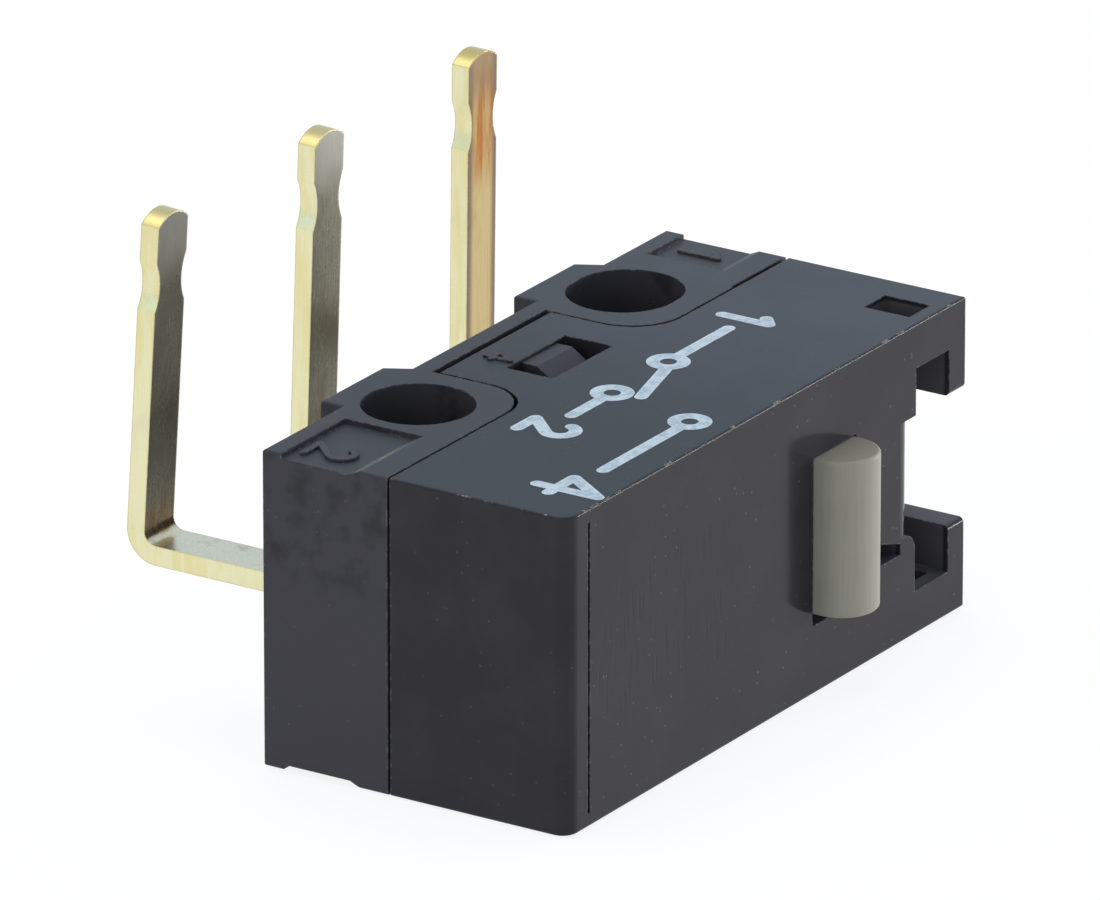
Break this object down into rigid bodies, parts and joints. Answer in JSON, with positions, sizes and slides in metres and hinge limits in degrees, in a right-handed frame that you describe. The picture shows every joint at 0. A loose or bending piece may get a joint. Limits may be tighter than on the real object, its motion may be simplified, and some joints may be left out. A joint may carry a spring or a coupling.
{
  "type": "micro switch",
  "caption": "Ultra-subminiature snap-action switch with a pin plunger, angled board terminals, through mounting holes and a lever-hinge notch.",
  "frame": {"origin": "on the resting broad face, midway between the axes of the two mounting holes", "axes": "+X along the length from the normally-closed end to the common end, -Y out of the plunger side, +Y out of the terminal side, +Z through the thickness, along the mounting holes"},
  "size_m": [0.0128, 0.0104, 0.0091],
  "materials": {
    "base": "moulded, slightly worn charcoal grey",
    "cover": "moulded, matt charcoal grey",
    "plunger": "moulded, pale warm grey",
    "normally_closed_terminal": "plated strip, dulled",
    "normally_open_terminal": "plated strip, dulled",
    "common_terminal": "plated strip, dulled",
    "snap_spring_blade": "spring-hard copper alloy, bright rolled",
    "moving_contact": "silver alloy",
    "normally_closed_contact": "silver alloy",
    "normally_open_contact": "silver alloy"
  },
  "bodies": {
    "housing": {"base": "base", "cover": "cover", "normally_closed_terminal": "normally_closed_terminal", "normally_open_terminal": "normally_open_terminal", "common_terminal": "common_terminal", "normally_closed_contact": "normally_closed_contact", "normally_open_contact": "normally_open_contact"},
    "button": {"plunger": "plunger"},
    "contact_blade": {"snap_spring_blade": "snap_spring_blade", "moving_contact": "moving_contact"}
  },
  "joints": [
    {"name": "plunger_press", "type": "slide", "parent": "housing", "child": "button", "axis": [0, 1, 0], "range_m": [0, 0.0006], "stiffness_N_per_m": 1200},
    {"name": "blade_snap", "type": "hinge", "parent": "housing", "child": "contact_blade", "pos_m": [0.00488, -0.00267, 0.0029], "axis": [0, 0, -1], "range_deg": [0, 2.8]}
  ],
  "couplings": [
    {"joint": "blade_snap", "follows": "plunger_press", "rad_per_m": 81.45}
  ]
}
